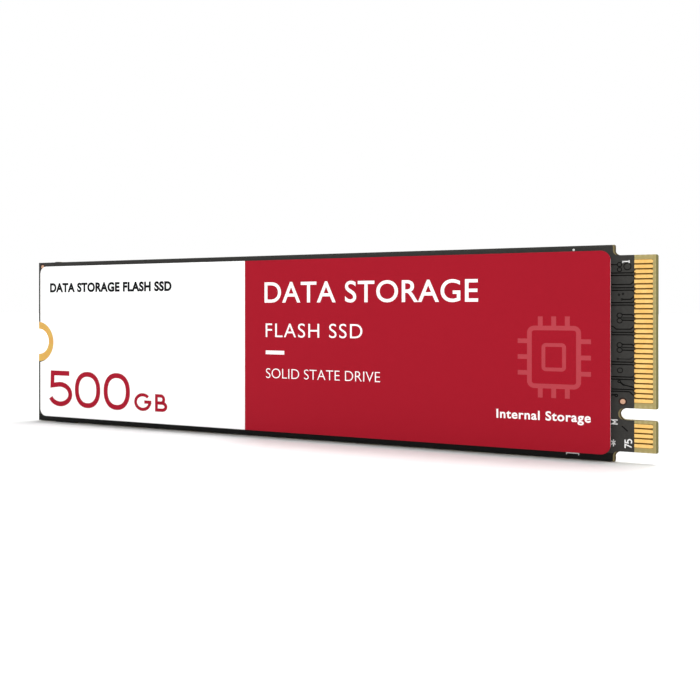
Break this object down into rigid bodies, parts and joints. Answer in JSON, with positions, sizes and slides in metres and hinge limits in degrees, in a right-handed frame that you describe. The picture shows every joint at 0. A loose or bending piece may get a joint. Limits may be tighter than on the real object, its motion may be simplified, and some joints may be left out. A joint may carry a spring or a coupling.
{
  "type": "solid state drive",
  "caption": "Bare stick solid state drive: thin black board with a gold edge connector, key slot, half-round screw notch and a printed label over its chips.",
  "frame": {"origin": "centre of the half-round screw notch, at the middle of the board's thickness", "axes": "+X along the board towards the edge connector, +Z across its width towards contact 1, -Y out of the label side; the card stands on its long edge"},
  "size_m": [0.08, 0.0021, 0.0222],
  "materials": {
    "glass_fibre": "matt, cut edges",
    "solder_mask": "satin black",
    "bare_copper": "dull",
    "gold_plating": "satin",
    "silk_ink": "matt white ink",
    "label_print": "satin printed film",
    "back_label_print": "satin printed film",
    "label_glue": "clear tacky film",
    "mould_compound": "matt, faintly speckled",
    "package_board": "satin green laminate",
    "silicon": "polished",
    "solder": "satin",
    "tin_plating": "satin",
    "capacitor_ceramic": "matt tan",
    "resistor_coat": "gloss black glaze",
    "moulded_case": "matt",
    "inductor_case": "matt pressed iron powder",
    "fuse_case": "matt off-white",
    "crystal_ceramic": "matt",
    "crystal_cover": "satin nickel"
  },
  "bodies": {
    "root": {"board_laminate": "glass_fibre", "front_solder_mask": "solder_mask", "back_solder_mask": "solder_mask", "front_traces": "bare_copper", "back_traces": "bare_copper", "plated_vias": "bare_copper", "front_contacts": "gold_plating", "back_contacts": "gold_plating", "screw_notch_plating": "gold_plating", "fiducial_marks": "bare_copper", "back_test_pads": "gold_plating", "front_silkscreen": "silk_ink", "front_label_film": "label_print", "front_label_adhesive": "label_glue", "back_label_film": "back_label_print", "back_label_adhesive": "label_glue", "power_ic_body": "mould_compound", "power_ic_leads": "tin_plating", "load_switch_bodies": "mould_compound", "load_switch_leads": "tin_plating", "boot_flash_body": "mould_compound", "boot_flash_leads": "tin_plating", "power_inductor_bodies": "inductor_case", "power_inductor_ends": "tin_plating", "bulk_capacitor_bodies": "moulded_case", "bulk_capacitor_ends": "tin_plating", "ceramic_capacitor_bodies": "capacitor_ceramic", "ceramic_capacitor_ends": "tin_plating", "resistor_bodies": "resistor_coat", "resistor_ends": "tin_plating", "crystal_base": "crystal_ceramic", "crystal_lid": "crystal_cover", "input_fuse_body": "fuse_case", "input_fuse_ends": "tin_plating", "surge_diode_body": "moulded_case", "surge_diode_ends": "tin_plating", "solder_fillets": "solder", "nand_1_mould": "mould_compound", "nand_1_substrate": "package_board", "nand_1_dies": "silicon", "nand_1_solder_balls": "solder", "nand_2_mould": "mould_compound", "nand_2_substrate": "package_board", "nand_2_dies": "silicon", "nand_2_solder_balls": "solder", "controller_mould": "mould_compound", "controller_substrate": "package_board", "controller_dies": "silicon", "controller_solder_balls": "solder", "dram_mould": "mould_compound", "dram_substrate": "package_board", "dram_dies": "silicon", "dram_solder_balls": "solder"}
  },
  "joints": []
}
